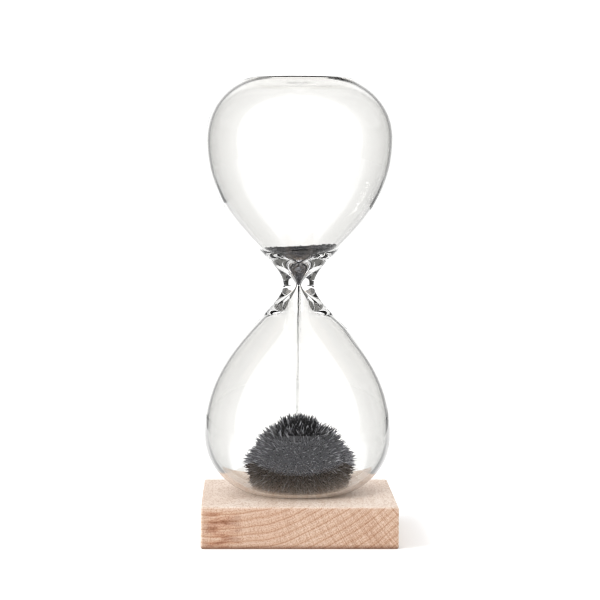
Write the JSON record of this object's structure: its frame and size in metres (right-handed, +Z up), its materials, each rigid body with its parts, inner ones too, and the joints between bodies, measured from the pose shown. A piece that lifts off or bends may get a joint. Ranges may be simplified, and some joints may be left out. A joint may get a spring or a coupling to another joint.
{
  "type": "magnetic hourglass",
  "caption": "Free-standing sand timer: a clear blown glass with a narrow waist holds dark iron filings and stands loose on a square wooden block that hides a magnet.",
  "frame": {"origin": "centre of the wooden block's underside, at the middle of the whole object's footprint", "axes": "+Z up along the glass's axis, through its waist; -Y is the block's front side, as the picture shows it; +X to its right"},
  "size_m": [0.064, 0.064, 0.1528],
  "materials": {
    "beech": "planed and sanded pale beech with a matt oil",
    "ferrite": "ground dark grey sintered ferrite",
    "glue": "set pale glue",
    "clear_glass": "clear flame-polished blown glass",
    "iron_filings": "dark grey iron grains with a dull glint"
  },
  "bodies": {
    "base": {"base_block": "beech", "magnet": "ferrite", "magnet_adhesive": "glue"},
    "waist": {"filings_throat": "iron_filings"},
    "glass": {"glass_body": "clear_glass", "glass_seal": "clear_glass", "filings_reserve": "iron_filings", "filings_stream": "iron_filings", "filings_mound": "iron_filings"}
  },
  "joints": [
    {"name": "glass_lift", "type": "slide", "parent": "base", "child": "waist", "axis": [0, 0, 1], "range_m": [0, 0.08]},
    {"name": "glass_turn", "type": "hinge", "parent": "waist", "child": "glass", "pos_m": [0, 0, 0.0839], "axis": [0, 1, 0], "range_deg": [0, 180]}
  ],
  "couplings": [
    {"joint": "glass_turn", "follows": "glass_lift", "rad_per_m": 39.269}
  ]
}
